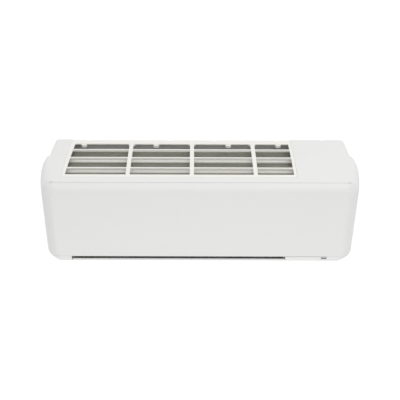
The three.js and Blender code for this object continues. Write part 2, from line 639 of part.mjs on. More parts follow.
// A point s back along the underside from the front face, and up square to it, into the unit.
const slopePoint = (s, up) => [
  DEPTH - s * Math.cos(SLOPE_ANGLE) - up * Math.sin(SLOPE_ANGLE),
  CHIN_Z - s * Math.sin(SLOPE_ANGLE) + up * Math.cos(SLOPE_ANGLE),
];

const [VANE_PIVOT_T, VANE_PIVOT_Z] = slopePoint(VANE_PIVOT_S, VANE_PIVOT_UP);
const VANE_LEFT = MOUTH_LEFT + VANE_SIDE_GAP;
const VANE_RIGHT = MOUTH_RIGHT - VANE_SIDE_GAP;
const CHEEK_LEFT = MOUTH_LEFT - CHEEK_GAP - CHEEK_THICK;
const CHEEK_RIGHT = MOUTH_RIGHT + CHEEK_GAP;

function vane() {
  const front = VANE_FRONT_GAP;
  const rear = VANE_FRONT_GAP + VANE_LENGTH;
  const blade = sideSlice(outline([
    slopePoint(front, 2),
    slopePoint(front + 2, 0.15),
    slopePoint(rear, 0.15),
    slopePoint(rear, VANE_TAIL),
    slopePoint(rear - 16, VANE_THICK),
    slopePoint(front + 9, VANE_THICK),
    slopePoint(front + 4, VANE_LIP),
    slopePoint(front, VANE_LIP),
  ]), VANE_LEFT, VANE_RIGHT);
  const ears = [[VANE_LEFT, -1], [VANE_RIGHT - VANE_EAR, 1]].map(([x0, side]) => {
    const web = sideSlice(outline([
      slopePoint(VANE_PIVOT_S + 9, 1),
      slopePoint(VANE_PIVOT_S + 4, VANE_PIVOT_UP),
      slopePoint(VANE_PIVOT_S - 4, VANE_PIVOT_UP),
      slopePoint(VANE_PIVOT_S - 12, 1),
    ]), x0, x0 + VANE_EAR);
    const eye = barAlongX(VANE_PIN + 1.6, x0, x0 + VANE_EAR, VANE_PIVOT_T, VANE_PIVOT_Z, 16);
    const reach = VANE_EAR + 1 + CHEEK_THICK;
    const pinFrom = side < 0 ? x0 + VANE_EAR - 1 - reach : x0 + 1;
    return join(web, eye, barAlongX(VANE_PIN, pinFrom, pinFrom + reach, VANE_PIVOT_T, VANE_PIVOT_Z, 16));
  });
  return join(blade, ears);
}

// A strip of the chin between two x places, as thick as its outer wall.
function chinStrip(x0, x1) {
  return casingLayer(0.2, SHELL - 0.2)
    .intersect(block(x0, x1, FASCIA_T + FASCIA_THICK + FIT, DEPTH + 5, CHIN_Z - 6, CHIN_TOP));
}

// ---- chassis
const spiralPoint = (degrees) => {
  const share = (degrees - SPIRAL_START) / (SPIRAL_END - SPIRAL_START);
  const radius = SPIRAL_NEAR * (SPIRAL_FAR / SPIRAL_NEAR) ** share;
  return [FAN_T + radius * Math.cos(radians(degrees)), FAN_Z + radius * Math.sin(radians(degrees))];
};
const spiral = Array.from({ length: SPIRAL_STEPS + 1 }, (_, i) =>
  spiralPoint(SPIRAL_START + (SPIRAL_END - SPIRAL_START) * (i / SPIRAL_STEPS)));
const LIP = [MOUTH_REAR_T - 4, undersideZ(MOUTH_REAR_T - 4) + 6];

function fanWall(x0) {
  const shape = outline([
    [CHASSIS_BACK_T, CHANNEL_TOP],
    ...spiral.slice(-4),
    LIP,
    [FAN_T + 2, LIP[1] + 10],
    [FAN_T + 2, FAN_Z - 58],
    [PAN_REAR_T - 8, FAN_Z - 22],
    [PAN_REAR_T - 0.5, FAN_Z + 2],
    [PAN_REAR_T - 0.5, GUTTER_Z],
    [CHASSIS_BACK_T, GUTTER_Z],
  ]);
  return sideSlice(shape, x0, x0 + FAN_WALL_THICK);
}

function motorCradle(x0) {
  const x1 = x0 + CRADLE_THICK;
  const plate = block(x0, x1, CHASSIS_BACK_T, FAN_T, CHANNEL_TOP, FAN_Z + 20);
  return plate.subtract(barAlongX(MOTOR_RADIUS + FIT, x0 - 1, x1 + 1, FAN_T, FAN_Z, 32));
}

function rearChassis() {
  const x0 = FAN_WALL_LEFT;
  const x1 = FAN_WALL_RIGHT + FAN_WALL_THICK;
  const back = block(-CHASSIS_HALF, CHASSIS_HALF, CHASSIS_BACK_T, CHASSIS_BACK_T + CHASSIS_WALL,
    CHANNEL_TOP - CHASSIS_WALL, CHASSIS_TOP);
  const roof = block(-CHASSIS_HALF, CHASSIS_HALF, CHASSIS_BACK_T, CHANNEL_FRONT_T,
    CHANNEL_TOP - CHASSIS_WALL, CHANNEL_TOP);
  const floorZ = CHASSIS_BOTTOM + CHASSIS_WALL / 2;
  const floorLine = [[CHASSIS_REAR_T + 1, floorZ], [HEEL_T, floorZ], LIP];
  const floorHalf = CHASSIS_HALF - BOTTOM_CORNER + 4;
  const floor = sideSlice(ribbon(floorLine, CHASSIS_WALL), -floorHalf, floorHalf);
  const scrollLine = [[GUTTER_FRONT_T, GUTTER_Z + 8], [GUTTER_FRONT_T, GUTTER_Z - 6], ...spiral, LIP];
  const scroll = sideSlice(ribbon(scrollLine, CHASSIS_WALL), x0, x1);
  const gutter = block(x0, x1, CHASSIS_BACK_T, GUTTER_FRONT_T, GUTTER_Z - CHASSIS_WALL, GUTTER_Z);
  const sides = [-1, 1].map((side) => {
    const outer = side * CHASSIS_HALF;
    const inner = side * (CHASSIS_HALF - CHASSIS_WALL);
    return sideSlice(outline([
      [CHASSIS_REAR_T, CHANNEL_TOP - CHASSIS_WALL],
      [CHANNEL_FRONT_T, CHANNEL_TOP - CHASSIS_WALL],
      [CHANNEL_FRONT_T, CHASSIS_TOP - 60],
      [20, CHASSIS_TOP],
      [CHASSIS_REAR_T, CHASSIS_TOP],
    ]), Math.min(outer, inner), Math.max(outer, inner));
  });
  const ribs = CHASSIS_RIB_XS.map((x) => sideSlice(outline([
    [CHASSIS_BACK_T, GUTTER_Z],
    [CHASSIS_BACK_T, CHANNEL_TOP],
    [spiral.at(-5)[0], CHANNEL_TOP],
    ...spiral.slice(0, -5).reverse(),
    [GUTTER_FRONT_T, GUTTER_Z],
  ]), x - CHASSIS_RIB_THICK / 2, x + CHASSIS_RIB_THICK / 2));
  const boss = barAlongX(BEARING_RADIUS + BEARING_WALL, FAN_WALL_LEFT - BEARING_OUT,
    FAN_WALL_LEFT + FAN_WALL_THICK, FAN_T, FAN_Z, 24);
  const cradles = [MOTOR_LEFT + 8, MOTOR_LEFT + MOTOR_LONG - 8 - CRADLE_THICK].map(motorCradle);
  const cuts = [
    barAlongX(BEARING_RADIUS + FIT, FAN_WALL_LEFT - 10, FAN_WALL_LEFT + 10, FAN_T, FAN_Z, 24),
    barAlongX(SHAFT_RADIUS + 8, FAN_WALL_RIGHT - 2, FAN_WALL_RIGHT + 5, FAN_T, FAN_Z, 24),
    ...[-1, 1].map((side) => hookWindow(side)),
    block(PIPE_DROP_X - 7, PIPE_DROP_X + 7, GAS_T - 8, LIQUID_T + 6, CHANNEL_TOP - 4, CHANNEL_TOP + 1),
  ];
  const fanWalls = [x0, FAN_WALL_RIGHT].map(fanWall);
  return join(back, roof, floor, scroll, gutter, sides, ribs, fanWalls, boss, cradles).subtract(join(cuts));
}

// ---- mounting plate
const PLATE_TOP = PLATE_Z + PLATE_TALL / 2;
const HOOK_Z = PLATE_TOP - HOOK_DROP;

function hookWindow(side) {
  const x = side * HOOK_X;
  const half = HOOK_WIDE / 2 + 2;
  return block(x - half, x + half, CHASSIS_BACK_T - 1, CHASSIS_BACK_T + CHASSIS_WALL + 1,
    HOOK_Z - 2 * PLATE_THICK, HOOK_Z + PLATE_THICK + 0.6);
}

function mountingPlate() {
  const low = PLATE_Z - PLATE_TALL / 2;
  const shape = roundedRectangle(-PLATE_WIDE / 2, PLATE_WIDE / 2, low, PLATE_TOP, PLATE_CORNER);
  const hole = (x, z, radius) => {
    const path = new THREE.Path();
    path.absarc(x, z, radius, 0, 2 * Math.PI, true);
    shape.holes.push(path);
  };
  PLATE_HOLE_XS.forEach((x) => {
    PLATE_HOLE_ZS.forEach((z) => hole(x, PLATE_Z + z, PLATE_HOLE));
  });
  const sheet = frontSlice(shape, 0, PLATE_THICK, 5);
  const hooks = [-1, 1].map((side) => {
    const x0 = side * HOOK_X - HOOK_WIDE / 2;
    const behind = CHASSIS_BACK_T + CHASSIS_WALL + FIT;
    const x1 = x0 + HOOK_WIDE;
    const arm = block(x0, x1, PLATE_THICK / 2, behind + PLATE_THICK, HOOK_Z - PLATE_THICK, HOOK_Z);
    return join(arm, block(x0, x1, behind, behind + PLATE_THICK, HOOK_Z - 0.5, HOOK_Z + HOOK_REACH));
  });
  return join(sheet, hooks);
}

// ---- fan
function fan() {
  const blade = (turn) => {
    const points = [0, 1].map((share) => {
      const radius = FAN_RADIUS - 0.5 - FAN_BLADE_DEEP * (1 - share);
      const angle = turn + FAN_BLADE_SWEEP * share;
      return [FAN_T + radius * Math.cos(angle), FAN_Z + radius * Math.sin(angle)];
    });
    return sideSlice(ribbon(points, FAN_BLADE_THICK), FAN_LEFT + 1, FAN_RIGHT - 1);
  };
  const blades = Array.from({ length: FAN_BLADES }, (_, i) => blade((i / FAN_BLADES) * 2 * Math.PI));
  const thick = FAN_DISC_THICK;
  const pitch = (FAN_RIGHT - FAN_LEFT - thick) / (FAN_DISCS - 1);
  const ringBore = FAN_RADIUS - FAN_BLADE_DEEP - 2.5;
  const discs = Array.from({ length: FAN_DISCS }, (_, i) => {
    const x0 = FAN_LEFT + i * pitch;
    const disc = barAlongX(FAN_RADIUS, x0, x0 + thick, FAN_T, FAN_Z, 20);
    const inside = i > 0 && i < FAN_DISCS - 1;
    return inside ? disc.subtract(barAlongX(ringBore, x0 - 1, x0 + thick + 1, FAN_T, FAN_Z, 12)) : disc;
  });
  const hubs = [FAN_LEFT, FAN_RIGHT - HUB_LONG].map((x0) =>
    barAlongX(SHAFT_RADIUS + HUB_WALL, x0, x0 + HUB_LONG, FAN_T, FAN_Z, 16));
  const bores = [FAN_LEFT - 1, FAN_RIGHT + 1 - HUB_LONG].map((x0) =>
    barAlongX(SHAFT_RADIUS + FIT, x0, x0 + HUB_LONG, FAN_T, FAN_Z, 16));
  return join(discs, hubs, blades).subtract(join(bores));
}

function fanMotor() {
  const x1 = MOTOR_LEFT + MOTOR_LONG;
  const can = new THREE.LatheGeometry([
    [0, 0],
    [14, 0],
    [14, 4],
    [MOTOR_RADIUS - MOTOR_EDGE, 4],
    [MOTOR_RADIUS, 4 + MOTOR_EDGE],
    [MOTOR_RADIUS, MOTOR_LONG - MOTOR_EDGE],
    [MOTOR_RADIUS - MOTOR_EDGE, MOTOR_LONG],
    [0, MOTOR_LONG],
  ].map(([radius, at]) => new THREE.Vector2(radius, at)), 24);
  can.rotateZ(-Math.PI / 2).translate(MOTOR_LEFT, -FAN_T, FAN_Z);
  const bore = barAlongX(SHAFT_RADIUS + FIT, MOTOR_LEFT - 1, x1 - 20, FAN_T, FAN_Z, 16);
  return solid(can).subtract(bore);
}

function motorClamp() {
  const x0 = MOTOR_LEFT + 16;
  const x1 = MOTOR_LEFT + MOTOR_LONG - 16;
  const inner = MOTOR_RADIUS + FIT;
  const bore = barAlongX(inner, x0 - 1, x1 + 1, FAN_T, FAN_Z, 32);
  const ring = barAlongX(inner + CLAMP_STRAP, x0, x1, FAN_T, FAN_Z, 32).subtract(bore);
  const far = 2 * inner;
  const strap = ring.intersect(block(x0 - 1, x1 + 1, FAN_T, FAN_T + far, FAN_Z - far, FAN_Z + far));
  const feet = [1, -1].map((side) => {
    const z = FAN_Z + side * (inner + 1);
    return block(x0, x1, CHASSIS_BACK_T + CHASSIS_WALL + 1, FAN_T + 2, z - 1, z + 1);
  });
  return join(strap, feet);
}

// ---- evaporator
const fromFan = ([ahead, above]) => [FAN_T + ahead * DEPTH, FAN_Z + above * HEIGHT];
const SLABS = Object.fromEntries(Object.entries(SLAB_ENDS).map(([name, ends]) =>
  [name, ends.map(fromFan)]));

function along([from, to]) {
  const long = Math.hypot(to[0] - from[0], to[1] - from[1]);
  const [a, b] = [(to[0] - from[0]) / long, (to[1] - from[1]) / long];
  return { long, at: (s, out) => [from[0] + a * s - b * out, from[1] + b * s + a * out] };
}

function slabShape(line) {
  const { long, at } = along(line);
  const half = SLAB_THICK / 2;
  return outline([at(0, -half), at(long, -half), at(long, half), at(0, half)]);
}

// Centres of the tubes of one row; the outer row is on the side away from the fan.
function tubeRow(line, out) {
  const { long, at } = along(line);
  const margin = (long - TUBE_PITCH * (TUBES_PER_ROW - 1)) / 2;
  return Array.from({ length: TUBES_PER_ROW }, (_, i) => at(margin + i * TUBE_PITCH, out));
}

const slabLines = Object.values(SLABS);
const outerRow = slabLines.flatMap((line) => tubeRow(line, TUBE_ROW / 2));
const innerRow = slabLines.flatMap((line) => tubeRow(line, -TUBE_ROW / 2));
const tubes = [...outerRow, ...innerRow.reverse()];
const TUBE_HOLE = (TUBE_RADIUS + TUBE_CLEARANCE) / Math.cos(Math.PI / TUBE_SIDES);
const tubeHoles = (x0, x1) => join(tubes.map(([t, z]) => barAlongX(TUBE_HOLE, x0, x1, t, z, TUBE_SIDES)));

// A tube along a line of points: a drum whose rings are carried along the line.
function tubeAlong(points, radius, sides = TUBE_SIDES) {
  const line = points.map(([x, t, z]) => new THREE.Vector3(x, -t, z));
  const last = line.length - 1;
  const drum = new THREE.CylinderGeometry(1, 1, last, sides, last);
  const heading = line.map((_, i) =>
    line[Math.min(i + 1, last)].clone().sub(line[Math.max(i - 1, 0)]).normalize());
  const across = [new THREE.Vector3(0.3, 0.5, 0.8).cross(heading[0]).normalize()];
  for (let i = 1; i <= last; i += 1) {
    const swing = new THREE.Quaternion().setFromUnitVectors(heading[i - 1], heading[i]);
    across.push(across[i - 1].clone().applyQuaternion(swing));
  }
  const place = drum.attributes.position;
  for (let i = 0; i < place.count; i += 1) {
    const ring = Math.round(place.getY(i) + last / 2);
    const sideways = across[ring].clone().multiplyScalar(place.getX(i) * radius);
    const upright = heading[ring].clone().cross(across[ring]).multiplyScalar(-place.getZ(i) * radius);
    const point = line[ring].clone().add(sideways).add(upright);
    place.setXYZ(i, point.x, point.y, point.z);
  }
  return solid(drum);
}

// The same tube through corner points, each corner rounded.
function bentTube(corners, radius, bend, sides) {
  const points = [corners[0]];
  const toward = (from, to) => {
    const gap = to.map((value, i) => value - from[i]);
    const long = Math.hypot(...gap);
    return from.map((value, i) => value + (gap[i] / long) * bend);
  };
  for (let i = 1; i < corners.length - 1; i += 1) {
    const before = toward(corners[i], corners[i - 1]);
    const after = toward(corners[i], corners[i + 1]);
    [0, 0.25, 0.5, 0.75, 1].forEach((s) => points.push(corners[i].map((value, k) =>
      (1 - s) ** 2 * before[k] + 2 * s * (1 - s) * value + s ** 2 * after[k])));
  }
  points.push(corners.at(-1));
  return tubeAlong(points, radius, sides);
}

// One circuit to and fro through all three slabs, with a return bend at each end.
const BEND_LEFT = COIL_LEFT - BRACKET_GAP - BRACKET_THICK - 1;
const BEND_RIGHT = COIL_RIGHT + BRACKET_GAP + BRACKET_THICK + 1;

function refrigerantCoil() {
  const points = [[BEND_RIGHT + 1, ...tubes[0]]];
  tubes.forEach((tube, i) => {
    const next = tubes[i + 1];
    const leftward = i % 2 === 0;
    const end = leftward ? BEND_LEFT : BEND_RIGHT;
    if (!next) {
      points.push([BEND_RIGHT + 1, ...tube]);
      return;
    }
    const reach = Math.hypot(next[0] - tube[0], next[1] - tube[1]) / 2;
    for (let k = 0; k <= BEND_STEPS; k += 1) {
      const angle = (k / BEND_STEPS) * Math.PI;
      const share = (1 - Math.cos(angle)) / 2;
      const x = end + (leftward ? -1 : 1) * reach * Math.sin(angle);
      points.push([x, tube[0] + (next[0] - tube[0]) * share, tube[1] + (next[1] - tube[1]) * share]);
    }
  });
  return tubeAlong(points, TUBE_RADIUS);
}

// An end plate around the ends of the three slabs, with its outline given as theirs is.
function coilBracket(x0) {
  const around = [
    [0.401, -0.074], [0.401, 0.228], [0.37, 0.305], [0.098, 0.48], [-0.022, 0.49], [-0.0935, 0.4765],
    [-0.325, 0.255], [-0.263, 0.188], [-0.214, 0.198], [-0.022, 0.3825], [0.027, 0.3825],
    [0.276, 0.2215], [0.276, -0.074],
  ];
  const shape = outline(around.map(fromFan));
  const plate = sideSlice(shape, x0, x0 + BRACKET_THICK);
  return plate.subtract(tubeHoles(x0 - 1, x0 + BRACKET_THICK + 1));
}

// ---- air filters
function filterLine(inward) {
  const curve = new THREE.QuadraticBezierCurve(
    new THREE.Vector2(FILTER_BEND[0], FILTER_BEND[1] - inward),
    new THREE.Vector2(FILTER_FRONT_T - inward, FILTER_BEND[1] - 3 - inward),
    new THREE.Vector2(FILTER_FRONT_T - inward, FILTER_DROP_Z),
  );
  return [
    [FILTER_REAR[0], FILTER_REAR[1] - inward],
    ...curve.getPoints(6).map(({ x, y }) => [x, y]),
    [FILTER_FRONT_T - inward, FILTER_LOW_Z],
  ];
}

function filterFrame(x0, x1) {
  const sheet = sideSlice(ribbon(filterLine(0), FILTER_THICK), x0, x1);
  const wide = (x1 - x0 - FILTER_RIM * (FILTER_CELLS + 1)) / FILTER_CELLS;
  const spans = (from, to, stops, across) => {
    const starts = [from, ...stops.map((stop) => stop + across / 2)];
    const ends = [...stops.map((stop) => stop - across / 2), to];
    return starts.map((start, i) => [start, ends[i]]);
  };
  const topFrom = FILTER_REAR[0] + FILTER_REAR_RIM;
  const topSpans = spans(topFrom, FILTER_BEND[0] + 3, FILTER_RIB_TS, FILTER_RIB_WIDE);
  const top = topSpans.map(([t0, t1]) =>
    block(x0 + FILTER_RIM, x1 - FILTER_RIM, t0, t1, FILTER_DROP_Z + 20, HEIGHT));
  const frontSpans = spans(FILTER_LOW_Z + 7, FILTER_DROP_Z - 3, FILTER_RIB_ZS, FILTER_RIM);
  const front = Array.from({ length: FILTER_CELLS }, (_, i) => {
    const left = x0 + FILTER_RIM + i * (wide + FILTER_RIM);
    return frontSpans.map(([z0, z1]) =>
      block(left, left + wide, FILTER_FRONT_T - 20, FILTER_FRONT_T + 5, z0, z1));
  });
  return sheet.subtract(join([...top, ...front.flat()]));
}

function filterMesh(x0, x1) {
  const below = (FILTER_THICK + FILTER_MESH) / 2 + 0.3;
  return sideSlice(ribbon(filterLine(below), FILTER_MESH), x0 + 2, x1 - 2);
}

// ---- drain pan
const roofZ = (t) => LOUVRE_Z + 2.8 - (t - LOUVRE_T) * Math.tan(radians(LOUVRE_TILT));

function cheek(x0) {
  return sideSlice(outline([
    [MOUTH_REAR_T + 2, undersideZ(MOUTH_REAR_T + 2) + SHELL + 1],
    [PAN_FRONT_T, undersideZ(PAN_FRONT_T) + SHELL + 1],
    [PAN_FRONT_T, PAN_FRONT_Z],
    [PAN_REAR_T + 4.5, PAN_FRONT_Z],
    [PAN_REAR_T + 4.5, PAN_FRONT_Z - 4],
    [MOUTH_REAR_T + 7.5, undersideZ(MOUTH_REAR_T) + 37],
  ]), x0, x0 + CHEEK_THICK);
}

function drainPan() {
  const x0 = CHEEK_LEFT;
  const x1 = CHEEK_RIGHT + CHEEK_THICK;
  const trough = sideSlice(ribbon([
    [PAN_REAR_T + 3.5, PAN_REAR_Z],
    [PAN_REAR_T, roofZ(PAN_REAR_T)],
    [PAN_FRONT_T - 0.5, roofZ(PAN_FRONT_T - 0.5)],
    [PAN_FRONT_T, PAN_FRONT_Z],
  ], PAN_WALL), x0, x1);
  const apronLine = [[PAN_FRONT_T - 4, roofZ(PAN_FRONT_T - 4)], [PAN_FRONT_T, APRON_BOTTOM]];
  const apron = sideSlice(ribbon(apronLine, PAN_WALL), x0, x1);
  const wings = [[-SCREW_X - 8, x0 + 1], [x1 - 1, SCREW_X + 8]].map(([from, to]) =>
    block(from, to, ...WING_T, ...WING_Z));
  const spout = barAlongX(SPOUT_RADIUS, x0 - SPOUT_LONG, x0 + 1, SPOUT_T, SPOUT_Z, 16);
  const cuts = [
    barAlongX(VANE_PIN + RUN, x0 - 1, x1 + 1, VANE_PIVOT_T, VANE_PIVOT_Z, 16),
    barAlongX(SPOUT_BORE, x0 - SPOUT_LONG - 1, x0 + CHEEK_THICK + 1, SPOUT_T, SPOUT_Z, 16),
    ...[-SCREW_X, SCREW_X].map((x) =>
      barAlongT(SCREW_RADIUS + FIT, x, WING_T[0] - 1, WING_T[1] + 1, SCREW_Z, 12)),
    linkSlot(),
  ];
  return join(trough, apron, cheek(CHEEK_LEFT), cheek(CHEEK_RIGHT), wings, spout).subtract(join(cuts));
}

// ---- louvres. Their group lies along the roof of the outlet: its y points back up the
// roof, towards the fan, and its z stands square to the roof.
const louvreGroup = new THREE.Group();
louvreGroup.position.set(0, -LOUVRE_T, LOUVRE_Z);
louvreGroup.rotation.x = radians(LOUVRE_TILT);
unit.add(louvreGroup);
const toUnit = new THREE.Matrix4().makeRotationX(radians(LOUVRE_TILT)).setPosition(0, -LOUVRE_T, LOUVRE_Z);

const BLADE_TOP = RAIL_TOP - RAIL_THICK - 0.6;
const BLADE_LOW = BLADE_TOP - LOUVRE_TALL;
const LINK_TOP = BLADE_LOW - 1.2;
const LINK_LOW = LINK_TOP - LINK_THICK;
const louvreXs = Array.from({ length: LOUVRE_COUNT }, (_, i) => LOUVRE_FIRST_X + i * LOUVRE_PITCH);

const plainBox = (x0, x1, y0, y1, z0, z1) => new THREE.BoxGeometry(x1 - x0, y1 - y0, z1 - z0)
  .translate((x0 + x1) / 2, (y0 + y1) / 2, (z0 + z1) / 2);

function uprightRod(radius, x, y, z0, z1, sides = 8) {
  const geometry = new THREE.CylinderGeometry(radius, radius, z1 - z0, sides);
  return solid(geometry.rotateX(Math.PI / 2).translate(x, y, (z0 + z1) / 2));
}

function linkSlot() {
  const travel = LINK_ARM * (1 - Math.cos(radians(LOUVRE_SWING)));
  const slot = plainBox(CHEEK_RIGHT - 1, CHEEK_RIGHT + CHEEK_THICK + 1,
    LINK_ARM - travel - LINK_WIDE / 2 - 1, LINK_ARM + LINK_WIDE / 2 + 1, LINK_LOW - 1, LINK_TOP + 1);
  return solid(slot.applyMatrix4(toUnit));
}

function louvreRail() {
  const low = RAIL_TOP - RAIL_THICK;
  const rail = solid(plainBox(VANE_LEFT, VANE_RIGHT, -RAIL_WIDE / 2, RAIL_WIDE / 2, low, RAIL_TOP));
  const holes = louvreXs.map((x) => uprightRod(LOUVRE_PIN + RUN, x, 0, low - 1, RAIL_TOP + 1));
  return rail.subtract(join(holes));
}

// One blade about its own pivot.
function louvreBlade() {
  const shape = new THREE.Shape();
  shape.moveTo(-LOUVRE_AHEAD, BLADE_TOP);
  shape.lineTo(LOUVRE_BACK, BLADE_TOP);
  shape.lineTo(LOUVRE_BACK - 3, BLADE_LOW);
  shape.lineTo(-LOUVRE_AHEAD + 8, BLADE_LOW);
  shape.quadraticCurveTo(-LOUVRE_AHEAD, BLADE_LOW, -LOUVRE_AHEAD, BLADE_LOW + 8);
  const stand = new THREE.Matrix4().set(0, 0, 1, -LOUVRE_THICK / 2, 1, 0, 0, 0, 0, 1, 0, 0, 0, 0, 0, 1);
  const plate = solid(prism(shape, LOUVRE_THICK, 5).applyMatrix4(stand));
  const stem = uprightRod(LOUVRE_PIN, 0, 0, BLADE_TOP - 4, RAIL_TOP - 0.5);
  const pin = uprightRod(LINK_PIN, 0, LINK_ARM, LINK_LOW - 1.5, BLADE_LOW + 4);
  return join(plate, stem, pin);
}

function linkBar() {
  const bar = solid(plainBox(louvreXs[0] - LINK_END, CRANK_X + LINK_END,
    LINK_ARM - LINK_WIDE / 2, LINK_ARM + LINK_WIDE / 2, LINK_LOW, LINK_TOP));
  return bar.subtract(join([...louvreXs, CRANK_X].map((x) =>
    uprightRod(LINK_PIN + RUN, x, LINK_ARM, LINK_LOW - 1, LINK_TOP + 1))));
}

function swingCrank() {
  const half = LINK_WIDE / 2;
  const far = LINK_ARM + 2 * LINK_PIN;
  const arm = solid(plainBox(-half, half, -half, far, BLADE_LOW, BLADE_LOW + CRANK_THICK));
  const stem = uprightRod(LOUVRE_PIN, 0, 0, BLADE_LOW + 1, SWING_MOTOR_LOW - 0.4);
  return join(arm, stem, uprightRod(LINK_PIN, 0, LINK_ARM, LINK_LOW - 1.5, BLADE_LOW + 1));
}

// A small geared motor standing along +Z. Its shaft is at its own origin and its can is
// offset from the shaft along +Y, as its gears need.
function stepper() {
  const y = STEPPER_OFFSET;
  const can = uprightRod(STEPPER_RADIUS, 0, y, 0, STEPPER_LONG, 16);
  const ears = solid(plainBox(-STEPPER_RADIUS - 6, STEPPER_RADIUS + 6, y - 4, y + 4, 0.5, 2));
  const lead = solid(plainBox(-7, 7, y + STEPPER_RADIUS - 4, y + STEPPER_RADIUS + 3, 2.5, STEPPER_LONG - 2));
  return join(can, ears, lead);
}

// ---- pipes behind the unit
const [[GAS_FROM_T, GAS_FROM_Z], [LIQUID_T, LIQUID_FROM_Z]] = [tubes[0], tubes.at(-1)];

function gasPipe() {
  return bentTube([
    [BEND_RIGHT + 1 + FIT, GAS_FROM_T, GAS_FROM_Z],
    [PIPE_DROP_X, GAS_FROM_T, GAS_FROM_Z],
    [PIPE_DROP_X, GAS_FROM_T, GAS_BEND_ZS[0]],
    [PIPE_DROP_X, GAS_T, GAS_BEND_ZS[1]],
    [PIPE_DROP_X, GAS_T, GAS_Z],
    [PIPE_END_X, GAS_T, GAS_Z],
  ], GAS_PIPE, 10, 10);
}

function liquidPipe() {
  return bentTube([
    [BEND_RIGHT + 1 + FIT, LIQUID_T, LIQUID_FROM_Z],
    [PIPE_DROP_X, LIQUID_T, LIQUID_FROM_Z],
    [PIPE_DROP_X, LIQUID_T, LIQUID_Z],
    [PIPE_END_X, LIQUID_T, LIQUID_Z],
  ], LIQUID_PIPE, 9, 10);
}

function flareNut(radius, t, z) {
  const from = PIPE_END_X - NUT_LONG - 4;
  const to = from + NUT_LONG + COLLAR_LONG;
  const nut = barAlongX(radius + NUT_WALL, from, from + NUT_LONG, t, z, 6);
  const collar = barAlongX(radius + COLLAR_WALL, from + NUT_LONG - 1, to, t, z, 12);
  return join(nut, collar).subtract(barAlongX(radius + FIT, from - 1, to + 1, t, z, 12));
}

function pipeClamp() {
  const x0 = CLAMP_X;
  const x1 = CLAMP_X + CLAMP_WIDE;
  const body = block(x0, x1, GAS_T - 8, LIQUID_T + LIQUID_PIPE + 2, LIQUID_Z - 6, GAS_Z + 8);
  const leg = block(x0, x1, GAS_T - 8, GAS_T + 8, GAS_Z, CHANNEL_TOP - CHASSIS_WALL - 0.4);
  const bores = [
    barAlongX(GAS_PIPE + FIT, x0 - 1, x1 + 1, GAS_T, GAS_Z, 16),
    barAlongX(LIQUID_PIPE + FIT, x0 - 1, x1 + 1, LIQUID_T, LIQUID_Z, 16),
  ];
  return join(body, leg).subtract(join(bores));
}

// ---- electrical parts on the right
function controlBox() {
  const outer = block(BOX_LEFT, BOX_RIGHT, BOX_REAR_T, BOX_FRONT_T, BOX_BOTTOM, BOX_TOP);
  const inner = block(BOX_LEFT + BOX_WALL, BOX_RIGHT - BOX_WALL, BOX_REAR_T + BOX_WALL, BOX_FRONT_T + 5,
    BOX_BOTTOM + BOX_WALL, BOX_TOP - BOX_WALL);
  const posts = [-1, 1].flatMap((a) => [-1, 1].map((b) => {
    const x = (BOX_LEFT + BOX_RIGHT) / 2 + a * POST_SPREAD;
    const z = (BOX_BOTTOM + BOX_TOP) / 2 + b * POST_RISE;
    return barAlongT(POST_RADIUS, x, BOX_REAR_T + 1, BOX_REAR_T + POST_LONG, z, 10);
  }));
  return join(outer.subtract(inner), posts);
}

function boxCover() {
  const t = BOX_FRONT_T + 0.3;
  return block(BOX_LEFT, BOX_RIGHT, t, t + BOX_COVER, BOX_BOTTOM + TERMINAL_TALL + 12, BOX_TOP);
}

function controlBoard() {
  const t = BOX_REAR_T + POST_LONG + 0.3;
  const sheet = block(BOX_LEFT + BOARD_EDGE, BOX_RIGHT - BOARD_EDGE, t, t + BOARD_THICK,
    BOX_BOTTOM + BOARD_EDGE, BOX_TOP - BOARD_EDGE);
  const x = (BOX_LEFT + BOX_RIGHT) / 2;
  const z = (BOX_BOTTOM + BOX_TOP) / 2;
  const parts = [
    block(x - 40, x - 12, t + 1, t + 26, z + 12, z + 38),
    barAlongT(9, x + 8, t + 1, t + 28, z + 24),
    block(x + 26, x + 44, t + 1, t + 16, z + 10, z + 36),
    block(x - 36, x - 6, t + 1, t + 5, z - 30, z - 12),
    block(x + 10, x + 40, t + 1, t + 12, z - 34, z - 22),
  ];
  return join(sheet, parts);
}

function terminalBlock() {
  const front = BOX_FRONT_T - 1;
  const from = BOX_RIGHT - 14 - TERMINAL_BAYS * TERMINAL_PITCH;
  const low = BOX_BOTTOM + BOX_WALL + FIT;
  const body = block(from - 8, BOX_RIGHT - 14, front - 15, front, low, BOX_BOTTOM + TERMINAL_TALL);
  const bays = Array.from({ length: TERMINAL_BAYS }, (_, i) => {
    const x0 = from - 4 + i * TERMINAL_PITCH;
    return block(x0, x0 + TERMINAL_BAY, front - 8, front + 5, low + 3, BOX_BOTTOM + TERMINAL_TALL - 3);
  });
  return body.subtract(join(bays));
}

function emergencyButton() {
  const from = BUTTON_FLANGE_T;
  const cap = barAlongT(BUTTON_RADIUS, BUTTON_X, from, FASCIA_T + FASCIA_THICK + 2.5, BUTTON_Z, 20);
  return join(cap, barAlongT(BUTTON_RADIUS + BUTTON_FLANGE, BUTTON_X, from, from + 1.5, BUTTON_Z, 20));
}

function switchBoard() {
  const t = WING_T[0] - FIT - BOARD_THICK;
  const sheet = block(BUTTON_X - 28, BUTTON_X + 28, t, t + BOARD_THICK, WING_Z[0], BUTTON_Z + 10);
  const pad = BUTTON_FLANGE_T - BUTTON_TRAVEL - FIT;
  return join(sheet, block(BUTTON_X - 3, BUTTON_X + 3, t + 1, pad, BUTTON_Z - 3, BUTTON_Z + 3));
}

